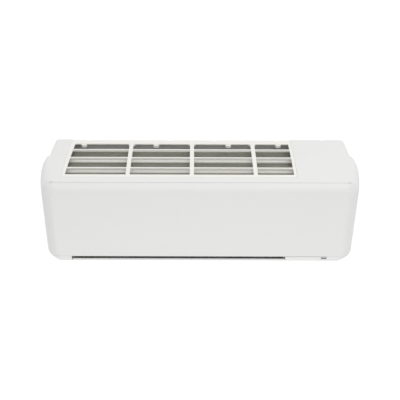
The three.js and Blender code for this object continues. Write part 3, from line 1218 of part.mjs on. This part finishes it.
function casingScrew(side) {
  const x = side * SCREW_X;
  const under = FASCIA_T + FASCIA_THICK + 0.3;
  const over = under + SCREW_HEAD_TALL;
  const shank = barAlongT(SCREW_RADIUS, x, WING_T[0] - 8, under + 1, SCREW_Z, 12);
  const cross = [[3, 0.6], [0.6, 3]].map(([a, b]) =>
    block(x - a, x + a, over - 1, over + 1, SCREW_Z - b, SCREW_Z + b));
  return join(shank, barAlongT(SCREW_HEAD, x, under, over, SCREW_Z, 16)).subtract(join(cross));
}

// ---------------------------------------------------------------- the assembly
addPiece('mounting_plate', mountingPlate(), STEEL);
addPiece('rear_chassis', rearChassis(), PALE_GREY);
addPiece('front_casing', frontCasing(), WHITE);
addPiece('inlet_grille', inletGrille(), WARM_WHITE);
addPiece('front_panel', frontPanel(), WHITE);
addPiece('vane', vane(), WHITE);
addPiece('display_lens', chinStrip(MOUTH_RIGHT + SEAM, DISPLAY_RIGHT - SEAM / 2), LENS);
addPiece('receiver_window', chinStrip(DISPLAY_RIGHT + SEAM / 2, RECEIVER_RIGHT - SEAM), BLACK);

const filterMiddle = RIB_XS[1];
addPiece('filter_frame_left', filterFrame(FILTER_LEFT, filterMiddle - FILTER_GAP / 2), IVORY);
addPiece('filter_frame_right', filterFrame(filterMiddle + FILTER_GAP / 2, FILTER_RIGHT), IVORY);
addPiece('filter_mesh_left', filterMesh(FILTER_LEFT, filterMiddle - FILTER_GAP / 2), NETTING);
addPiece('filter_mesh_right', filterMesh(filterMiddle + FILTER_GAP / 2, FILTER_RIGHT), NETTING);

Object.entries(SLABS).forEach(([name, line]) => {
  const slab = sideSlice(slabShape(line), COIL_LEFT, COIL_RIGHT);
  addPiece(name, slab.subtract(tubeHoles(COIL_LEFT - 1, COIL_RIGHT + 1)), FIN_ALUMINIUM);
});
addPiece('refrigerant_coil', refrigerantCoil(), COPPER);
addPiece('coil_bracket_left', coilBracket(COIL_LEFT - BRACKET_GAP - BRACKET_THICK), STEEL);
addPiece('coil_bracket_right', coilBracket(COIL_RIGHT + BRACKET_GAP), STEEL);
addPiece('gas_pipe', gasPipe(), COPPER);
addPiece('liquid_pipe', liquidPipe(), COPPER);
addPiece('gas_flare_nut', flareNut(GAS_PIPE, GAS_T, GAS_Z), BRASS);
addPiece('liquid_flare_nut', flareNut(LIQUID_PIPE, LIQUID_T, LIQUID_Z), BRASS);
addPiece('pipe_clamp', pipeClamp(), DARK_GREY);

addPiece('cross_flow_fan', fan(), DARK_GREY);
const bearingEnd = FAN_WALL_LEFT - BEARING_OUT;
const shaft = (x0, x1, radius = SHAFT_RADIUS) => barAlongX(radius, x0, x1, FAN_T, FAN_Z, 16);
addPiece('fan_shaft', shaft(bearingEnd - 3, FAN_LEFT + HUB_LONG - 2), STEEL);
addPiece('motor_shaft', shaft(FAN_RIGHT - HUB_LONG + 2, MOTOR_LEFT + MOTOR_LONG / 2), STEEL);
const bearing = barAlongX(BEARING_RADIUS, bearingEnd, FAN_WALL_LEFT + FAN_WALL_THICK, FAN_T, FAN_Z, 24)
  .subtract(shaft(bearingEnd - 1, FAN_LEFT, SHAFT_RADIUS + RUN));
addPiece('fan_bearing', bearing, RUBBER);
addPiece('fan_motor', fanMotor(), PALE_GREY);
addPiece('motor_clamp', motorClamp(), STEEL);

addPiece('drain_pan', drainPan(), IVORY);
addPiece('louvre_rail', louvreRail(), IVORY, louvreGroup);
louvreXs.forEach((x, i) => {
  addPiece(`louvre_${i + 1}`, louvreBlade(), WARM_WHITE, louvreGroup).position.x = x;
});
addPiece('link_bar', linkBar(), IVORY, louvreGroup);
addPiece('swing_crank', swingCrank(), IVORY, louvreGroup).position.x = CRANK_X;
addPiece('swing_motor', stepper(), DARK_GREY, louvreGroup).position.set(CRANK_X, 0, SWING_MOTOR_LOW);
const vaneMotor = addPiece('vane_motor', stepper(), DARK_GREY);
vaneMotor.position.set(CHEEK_RIGHT + CHEEK_THICK + 1.2, -VANE_PIVOT_T, VANE_PIVOT_Z);
vaneMotor.quaternion.setFromRotationMatrix(new THREE.Matrix4().makeBasis(
  new THREE.Vector3(0, Math.cos(SLOPE_ANGLE), -Math.sin(SLOPE_ANGLE)),
  new THREE.Vector3(0, Math.sin(SLOPE_ANGLE), Math.cos(SLOPE_ANGLE)),
  new THREE.Vector3(1, 0, 0),
));

addPiece('control_box', controlBox(), PALE_GREY);
addPiece('control_box_cover', boxCover(), STEEL);
addPiece('control_board', controlBoard(), BOARD_GREEN);
addPiece('terminal_block', terminalBlock(), DARK_GREY);
addPiece('emergency_button', emergencyButton(), PALE_GREY);
addPiece('switch_board', switchBoard(), BOARD_GREEN);
addPiece('casing_screw_left', casingScrew(-1), STEEL);
addPiece('casing_screw_right', casingScrew(1), STEEL);

export default unit;
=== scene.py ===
import json
import math
import bpy
from mathutils import Matrix, Vector


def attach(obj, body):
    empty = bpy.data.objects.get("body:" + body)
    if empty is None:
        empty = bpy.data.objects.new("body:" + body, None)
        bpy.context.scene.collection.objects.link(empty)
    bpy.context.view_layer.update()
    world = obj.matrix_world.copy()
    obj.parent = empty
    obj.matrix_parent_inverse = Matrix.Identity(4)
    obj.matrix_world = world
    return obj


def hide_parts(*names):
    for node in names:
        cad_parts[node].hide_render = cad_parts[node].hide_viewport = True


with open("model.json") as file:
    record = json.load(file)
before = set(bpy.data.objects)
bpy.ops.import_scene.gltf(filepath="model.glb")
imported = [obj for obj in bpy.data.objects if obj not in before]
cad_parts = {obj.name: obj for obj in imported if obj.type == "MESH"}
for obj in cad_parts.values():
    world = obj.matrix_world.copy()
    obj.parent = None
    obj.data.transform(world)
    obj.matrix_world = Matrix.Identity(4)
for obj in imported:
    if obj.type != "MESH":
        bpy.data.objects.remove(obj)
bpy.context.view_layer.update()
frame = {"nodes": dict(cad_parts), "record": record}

NODES = frame["nodes"]
BODY_OF = {node: body for body, nodes in frame["record"]["behaviour"]["bodies"].items() for node in nodes}
MM = 0.001


# ---------------------------------------------------------------- shader maths
class Value:
    """A number in a node tree. Sums on it add Math nodes."""

    def __init__(self, tree, socket):
        self.tree = tree
        self.socket = socket

    def maths(self, operation, *others):
        node = self.tree.nodes.new("ShaderNodeMath")
        node.operation = operation
        for place, one in zip(node.inputs, (self, *others)):
            if isinstance(one, Value):
                self.tree.links.new(one.socket, place)
            else:
                place.default_value = one
        return Value(self.tree, node.outputs[0])

    def taken_from(self, number):
        node = self.tree.nodes.new("ShaderNodeMath")
        node.operation = "SUBTRACT"
        node.inputs[0].default_value = number
        self.tree.links.new(self.socket, node.inputs[1])
        return Value(self.tree, node.outputs[0])

    def __add__(self, other):
        return self.maths("ADD", other)

    __radd__ = __add__

    def __sub__(self, other):
        return self.maths("SUBTRACT", other)

    def __rsub__(self, other):
        return self.taken_from(other)

    def __mul__(self, other):
        return self.maths("MULTIPLY", other)

    __rmul__ = __mul__

    def __truediv__(self, other):
        return self.maths("DIVIDE", other)

    def clipped(self):
        return self.maths("MAXIMUM", 0.0).maths("MINIMUM", 1.0)

    def above(self, edge, soft):
        """0 below edge, 1 from edge + soft on."""
        return ((self - edge) / soft).clipped()


def seen_directly(tree):
    """1 for camera, glossy and transmission rays, 0 for the rays that carry light."""
    rays = tree.nodes.new("ShaderNodeLightPath")
    seen = Value(tree, rays.outputs["Is Camera Ray"])
    for kind in ("Is Glossy Ray", "Is Transmission Ray"):
        seen = seen.maths("MAXIMUM", Value(tree, rays.outputs[kind]))
    return seen


class Finish:
    """A material with one Principled shader, which is built up call by call."""

    def __init__(self, name, color, roughness, metallic=0.0):
        self.material = bpy.data.materials.new(name)
        self.material.use_nodes = True
        self.tree = self.material.node_tree
        self.shader = self.tree.nodes["Principled BSDF"]
        self.shader.inputs["Base Color"].default_value = (*color, 1.0)
        self.shader.inputs["Roughness"].default_value = roughness
        self.shader.inputs["Metallic"].default_value = metallic
        self.place = self.node("ShaderNodeTexCoord").outputs["Object"]

    def node(self, kind, settings=(), sockets=()):
        made = self.tree.nodes.new(kind)
        for setting, value in dict(settings).items():
            setattr(made, setting, value)
        for socket, value in dict(sockets).items():
            if isinstance(value, Value):
                value = value.socket
            if isinstance(value, bpy.types.NodeSocket):
                self.tree.links.new(value, made.inputs[socket])
            else:
                made.inputs[socket].default_value = value
        return made

    def value(self, socket):
        return Value(self.tree, socket)

    def axes(self):
        parts = self.node("ShaderNodeSeparateXYZ", sockets={0: self.place})
        return [self.value(parts.outputs[i]) for i in range(3)]

    def stretched(self, x, y, z):
        made = self.node("ShaderNodeMapping", sockets={"Vector": self.place, "Scale": (x, y, z)})
        return made.outputs["Vector"]

    def noise(self, scale, detail=2.0, rough=0.5, place=None):
        made = self.node("ShaderNodeTexNoise", sockets={
            "Vector": place or self.place, "Scale": scale, "Detail": detail, "Roughness": rough})
        return self.value(made.outputs[0])

    def blend(self, share, under, over):
        made = self.node("ShaderNodeMix", {"data_type": "RGBA"}, {"Factor": share, 6: under, 7: over})
        return made.outputs[2]

    def paint(self, color):
        self.tree.links.new(color, self.shader.inputs["Base Color"])

    def drive(self, socket, value):
        self.tree.links.new(value.socket, self.shader.inputs[socket])

    def bump(self, height, strength, distance):
        made = self.node("ShaderNodeBump", sockets={
            "Strength": strength, "Distance": distance, "Height": height})
        self.tree.links.new(made.outputs["Normal"], self.shader.inputs["Normal"])


# ---------------------------------------------------------------- materials
WHITE = (1.0, 1.0, 1.0, 1.0)
DUST = (0.42, 0.40, 0.36, 1.0)
SCUFFS = 0.06
PEEL_DEPTH = 0.4 * MM
LINE_DEPTH = 0.2 * MM
NETTING_COLOR = (0.27, 0.27, 0.225)
NETTING_PITCH = 1.6 * MM
NETTING_OPEN = 0.75
THREAD_DEPTH = 0.3 * MM
WINDOW_MILKY = (0.78, 0.78, 0.77)
WINDOW_DARK = (0.04, 0.04, 0.045)
WINDOW_BAND = (-115.5 * MM, -111.2 * MM)
WINDOW_BAND_EDGE = 0.4 * MM


def tinted(color, by):
    return tuple(min(max(channel * by, 0.0), 1.0) for channel in color) + (1.0,)


def moulded(name, color, roughness, grain=0.06, dust=0.04):
    """Injection moulded plastic: faint mottling, orange peel, a little settled dust and rubbed spots."""
    made = Finish(name, color, roughness)
    mottle = made.noise(scale=3.0, detail=3.0, rough=0.6)
    color_out = made.blend(mottle, tinted(color, 0.985), tinted(color, 1.01))
    settled = made.noise(scale=55.0, detail=4.0, rough=0.7).above(edge=0.52, soft=0.3)
    up = made.node("ShaderNodeSeparateXYZ", sockets={
        0: made.node("ShaderNodeNewGeometry").outputs["Normal"]})
    facing_up = made.value(up.outputs[2]).above(edge=0.5, soft=0.5)
    color_out = made.blend(settled * facing_up * dust, color_out, DUST)
    made.paint(color_out)
    rubbed = made.noise(scale=9.0, detail=5.0, rough=0.75).above(edge=0.55, soft=0.2)
    uneven = made.noise(scale=24.0) * 0.06
    made.drive("Roughness", uneven + rubbed * SCUFFS + (roughness - 0.05))
    coarse = made.noise(scale=420.0, rough=0.4)
    fine = made.noise(scale=1500.0, detail=1.0)
    peel = coarse * 0.5 + fine * 0.5
    made.bump(peel, strength=grain, distance=PEEL_DEPTH)
    return made.material


def rolled_metal(name, color, roughness, metallic=1.0, along=(1.0, 1.0, 1.0), tarnish=(0.2, 0.15, 0.1),
                 wear=0.3):
    """Drawn or rolled metal: fine lines along the work, with duller and darker patches."""
    made = Finish(name, color, roughness, metallic)
    lines = made.noise(scale=900.0, rough=0.6, place=made.stretched(*along))
    patches = made.noise(scale=38.0, detail=4.0, rough=0.65).above(edge=0.5, soft=0.35)
    color_out = made.blend(lines * 0.5, tinted(color, 0.86), tinted(color, 1.12))
    made.paint(made.blend(patches * wear, color_out, (*tarnish, 1.0)))
    made.drive("Roughness", lines * 0.12 + patches * 0.16 + (roughness - 0.06))
    made.bump(lines, strength=0.10, distance=LINE_DEPTH)
    return made.material


def woven_netting():
    """Fine square netting: round threads with open holes between them."""
    made = Finish("woven_netting", NETTING_COLOR, 0.8)
    x, y, z = made.axes()
    turn = 2.0 * math.pi / NETTING_PITCH
    across = (x * turn).maths("SINE").maths("ABSOLUTE")
    along = ((y - z) * turn).maths("SINE").maths("ABSOLUTE")
    thread = across.maths("MAXIMUM", along).above(edge=NETTING_OPEN, soft=0.05)
    shade = made.noise(scale=14.0, detail=3.0, rough=0.6, place=made.stretched(1.0, 3.0, 1.0))
    made.paint(made.blend(shade, tinted(NETTING_COLOR, 0.7), tinted(NETTING_COLOR, 1.3)))
    made.drive("Alpha", thread)
    made.bump(across + along, strength=0.3, distance=THREAD_DEPTH)
    return made.material


def receiver_black():
    """Smoked receiver window: dark in a narrow band, milky above and below it."""
    made = Finish("gloss_window_black", WINDOW_MILKY, 0.2)
    z = made.axes()[2]
    low, high = WINDOW_BAND
    band = z.above(low, WINDOW_BAND_EDGE) * (1.0 - z.above(high, WINDOW_BAND_EDGE))
    mottle = made.noise(scale=30.0) * 0.1
    made.paint(made.blend(band - mottle * band, (*WINDOW_MILKY, 1.0), (*WINDOW_DARK, 1.0)))
    made.drive("Roughness", mottle + 0.15)
    return made.material


NETTING = woven_netting()
WINDOW_BLACK = receiver_black()
SHELL_WHITE = moulded("satin_shell_white", (0.81, 0.81, 0.803), 0.40)
PANEL_WHITE = moulded("satin_panel_white", (0.785, 0.785, 0.779), 0.36)
GRILLE_WHITE = moulded("satin_grille_white", (0.88, 0.87, 0.83), 0.45)
LOUVRE_WHITE = moulded("matte_louvre_white", (0.80, 0.79, 0.75), 0.5)
INNER_IVORY = moulded("matte_ivory", (0.80, 0.79, 0.74), 0.6)
CHASSIS_GREY = moulded("matte_chassis_grey", (0.70, 0.71, 0.70), 0.6)
MOTOR_GREY = moulded("moulded_motor_grey", (0.52, 0.53, 0.52), 0.55)
BUTTON_GREY = moulded("matte_button_grey", (0.55, 0.56, 0.55), 0.5)
DARK_PLASTIC = moulded("matte_dark_plastic", (0.05, 0.05, 0.055), 0.5, dust=0.12)
LENS_WHITE = moulded("gloss_lens_white", (0.82, 0.82, 0.81), 0.2, grain=0.01)
PLATED_STEEL = rolled_metal("plated_steel", (0.62, 0.63, 0.64), 0.38, along=(0.05, 1.0, 1.0),
                            tarnish=(0.42, 0.42, 0.42), wear=0.25)
FIN_ALUMINIUM = rolled_metal("fin_aluminium", (0.62, 0.62, 0.56), 0.42, 0.85, along=(1.0, 0.05, 0.05))
COPPER = rolled_metal("drawn_copper", (0.72, 0.34, 0.19), 0.3, along=(0.05, 1.0, 1.0),
                      tarnish=(0.28, 0.12, 0.06))
BRASS = rolled_metal("turned_brass", (0.70, 0.52, 0.22), 0.28, along=(1.0, 0.1, 0.1),
                     tarnish=(0.3, 0.2, 0.08))
RUBBER = moulded("moulded_rubber", (0.03, 0.03, 0.03), 0.85)
BOARD_GREEN = moulded("coated_board_green", (0.05, 0.16, 0.07), 0.35)

FINISH_OF_SLOT = {
    "shell_white": SHELL_WHITE, "panel_white": PANEL_WHITE, "grille_white": GRILLE_WHITE,
    "louvre_white": LOUVRE_WHITE, "inner_ivory": INNER_IVORY, "chassis_plastic": CHASSIS_GREY,
    "motor_housing": MOTOR_GREY, "button_grey": BUTTON_GREY, "dark_plastic": DARK_PLASTIC,
    "window_black": WINDOW_BLACK, "lens_white": LENS_WHITE, "filter_netting": NETTING,
    "plated_steel": PLATED_STEEL, "fin_aluminium": FIN_ALUMINIUM, "copper": COPPER,
    "brass": BRASS, "bearing_rubber": RUBBER, "board_green": BOARD_GREEN,
}
SLOT_OF = {part["node"]: part["material_slot"] for part in frame["record"]["subparts"]}


# ---------------------------------------------------------------- bench tools
def pick(piece):
    bpy.ops.object.select_all(action="DESELECT")
    piece.select_set(True)
    bpy.context.view_layer.objects.active = piece


def dress(piece, slot):
    piece.data.materials.clear()
    piece.data.materials.append(FINISH_OF_SLOT[slot])


CORNER_JOIN = 0.001 * MM
FLAT_ANGLE = math.radians(0.2)
ROUND_ANGLE = math.radians(32.0)
EDGE_STEPS = 2
FAVOUR_LARGE_FACES = 100


def merged_copy(node, name):
    """A copy of a CAD node's mesh with its corners joined and its flats made whole, in the node's place."""
    piece = bpy.data.objects.new(name, NODES[node].data.copy())
    bpy.context.scene.collection.objects.link(piece)
    pick(piece)
    bpy.ops.object.mode_set(mode="EDIT")
    bpy.ops.mesh.select_all(action="SELECT")
    bpy.ops.mesh.remove_doubles(threshold=CORNER_JOIN)
    bpy.ops.mesh.dissolve_limited(angle_limit=FLAT_ANGLE)
    bpy.ops.object.mode_set(mode="OBJECT")
    dress(piece, SLOT_OF[node])
    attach(piece, BODY_OF[node])
    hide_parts(node)
    return piece


def reach_back(piece, reach):
    """Draws the piece out to the rear by a hair, its front staying where it is."""
    ys = [corner.co.y for corner in piece.data.vertices]
    front = min(ys)
    deep = max(ys) - front
    bpy.ops.object.mode_set(mode="EDIT")
    bpy.ops.mesh.select_all(action="SELECT")
    bpy.ops.transform.resize(value=(1.0, (deep + reach) / deep, 1.0), center_override=(0.0, front, 0.0))
    bpy.ops.object.mode_set(mode="OBJECT")


def smoothed(node, edge=0.0):
    """A stand-in whose round faces shade round and whose large faces stay flat."""
    piece = merged_copy(node, f"{node}_smooth")
    if node == "front_panel":
        reach_back(piece, PANEL_REACH)
    if edge:
        bevel = piece.modifiers.new("edge", "BEVEL")
        bevel.width = edge
        bevel.segments = EDGE_STEPS
        bevel.limit_method = "ANGLE"
        bevel.angle_limit = ROUND_ANGLE
        bpy.ops.object.modifier_apply(modifier="edge")
    bpy.ops.object.shade_smooth_by_angle(angle=ROUND_ANGLE)
    weighted = piece.modifiers.new("weighted", "WEIGHTED_NORMAL")
    weighted.keep_sharp = True
    weighted.weight = FAVOUR_LARGE_FACES
    bpy.ops.object.modifier_apply(modifier="weighted")


def fin_pack(node):
    """The section of the slab as one thin plate, repeated side by side along the slab."""
    piece = merged_copy(node, f"{node}_fins")
    xs = [corner.co.x for corner in piece.data.vertices]
    left = min(xs)
    length = max(xs) - left
    bpy.ops.object.mode_set(mode="EDIT")
    bpy.ops.mesh.select_all(action="SELECT")
    bpy.ops.transform.resize(value=(FIN_THICK / length, 1.0, 1.0), center_override=(left, 0.0, 0.0))
    bpy.ops.object.mode_set(mode="OBJECT")
    rows = piece.modifiers.new("rows", "ARRAY")
    rows.use_relative_offset = False
    rows.use_constant_offset = True
    rows.constant_offset_displace = (FIN_PITCH, 0.0, 0.0)
    rows.count = int((length - FIN_THICK) / FIN_PITCH) + 1
    bpy.ops.object.modifier_apply(modifier="rows")


for node, part in NODES.items():
    dress(part, SLOT_OF[node])

FIN_PITCH = 1.8 * MM
FIN_THICK = 0.35 * MM
PANEL_REACH = 0.25 * MM  # narrows the seam along the panel's upper edge
EDGE_ROUND = {"front_panel": 0.15 * MM, "vane": 0.5 * MM}
for node in ("front_casing", "front_panel", "inlet_grille", "vane", "drain_pan", "rear_chassis",
             "filter_frame_left", "filter_frame_right", "cross_flow_fan", "fan_shaft", "motor_shaft",
             "fan_motor", "fan_bearing", "motor_clamp", "refrigerant_coil", "gas_pipe", "liquid_pipe",
             "emergency_button", "casing_screw_left", "casing_screw_right", "vane_motor", "swing_motor",
             "display_lens", "receiver_window", "mounting_plate", "link_bar", "swing_crank"):
    smoothed(node, edge=EDGE_ROUND.get(node, 0.0))
for node in ("evaporator_rear", "evaporator_upper", "evaporator_front"):
    fin_pack(node)

# ---------------------------------------------------------------- camera, light, floor
camera_data = bpy.data.cameras.new("camera")
camera = bpy.data.objects.new("camera", camera_data)
bpy.context.scene.collection.objects.link(camera)
# The place, and the angles in radians, that fit the outline of the unit in the photo.
CAMERA_PLACE = Vector((-14.647, -1747.322, 964.129)) * MM
CAMERA_PITCH = 0.53282
CAMERA_YAW = 0.00071
CAMERA_ROLL = 0.0033
FOCAL_PIXELS = 697.254
CENTRE_X_PIXELS = 194.675
FRAME_PIXELS = 400
SENSOR_WIDTH = 36.0
CLIP_END = 50.0
forward = Vector((math.sin(CAMERA_YAW) * math.cos(CAMERA_PITCH),
                  math.cos(CAMERA_YAW) * math.cos(CAMERA_PITCH), -math.sin(CAMERA_PITCH)))
level = Vector((math.cos(CAMERA_YAW), -math.sin(CAMERA_YAW), 0.0))
upward = level.cross(forward)
right = level * math.cos(CAMERA_ROLL) + upward * math.sin(CAMERA_ROLL)
top = upward * math.cos(CAMERA_ROLL) - level * math.sin(CAMERA_ROLL)
camera.matrix_world = Matrix((
    (right.x, top.x, -forward.x, CAMERA_PLACE.x),
    (right.y, top.y, -forward.y, CAMERA_PLACE.y),
    (right.z, top.z, -forward.z, CAMERA_PLACE.z),
    (0.0, 0.0, 0.0, 1.0),
))
camera_data.sensor_width = SENSOR_WIDTH
camera_data.lens = FOCAL_PIXELS * camera_data.sensor_width / FRAME_PIXELS
camera_data.shift_x = (FRAME_PIXELS / 2 - CENTRE_X_PIXELS) / FRAME_PIXELS
camera_data.clip_end = CLIP_END
bpy.context.scene.camera = camera


def lamp(name, place, aim, size, watts):
    data = bpy.data.lights.new(name, "AREA")
    data.shape = "RECTANGLE"
    data.size, data.size_y = size
    data.energy = watts
    made = bpy.data.objects.new(name, data)
    made.location = place
    made.rotation_euler = (Vector(aim) - Vector(place)).to_track_quat("-Z", "Y").to_euler()
    bpy.context.scene.collection.objects.link(made)


lamp("overhead", place=(0.4, -1.0, 2.5), aim=(0.0, -0.1, 0.0), size=(3.6, 2.8), watts=28.5)
lamp("low_front", place=(0.1, -1.4, -1.0), aim=(0.0, -0.2, 0.0), size=(2.6, 0.9), watts=6.3)

world = bpy.data.worlds.new("studio")
bpy.context.scene.world = world
world.use_nodes = True
sky = world.node_tree
shade = sky.nodes["Background"]
shade.inputs["Color"].default_value = WHITE
AMBIENT = 0.72
strength = seen_directly(sky) * (1.0 - AMBIENT) + AMBIENT
sky.links.new(strength.socket, shade.inputs["Strength"])

FLOOR_SIZE = 30.0
FLOOR_Z = -1.5
FLOOR_COLOR = (0.86, 0.86, 0.86)
FLOOR_GLOW = 0.4
bpy.ops.mesh.primitive_plane_add(size=FLOOR_SIZE, location=(0.0, 0.0, FLOOR_Z))
floor = bpy.context.active_object
floor.name = "studio_floor"
floor_finish = Finish("studio_floor_white", FLOOR_COLOR, 0.9)
tree = floor_finish.tree
glow = floor_finish.node("ShaderNodeEmission", sockets={
    "Color": WHITE, "Strength": seen_directly(tree) * FLOOR_GLOW})
both = floor_finish.node("ShaderNodeAddShader", sockets={
    0: floor_finish.shader.outputs[0], 1: glow.outputs[0]})
tree.links.new(both.outputs[0], tree.nodes["Material Output"].inputs["Surface"])
floor.data.materials.append(floor_finish.material)

bpy.context.scene.view_settings.view_transform = "Standard"
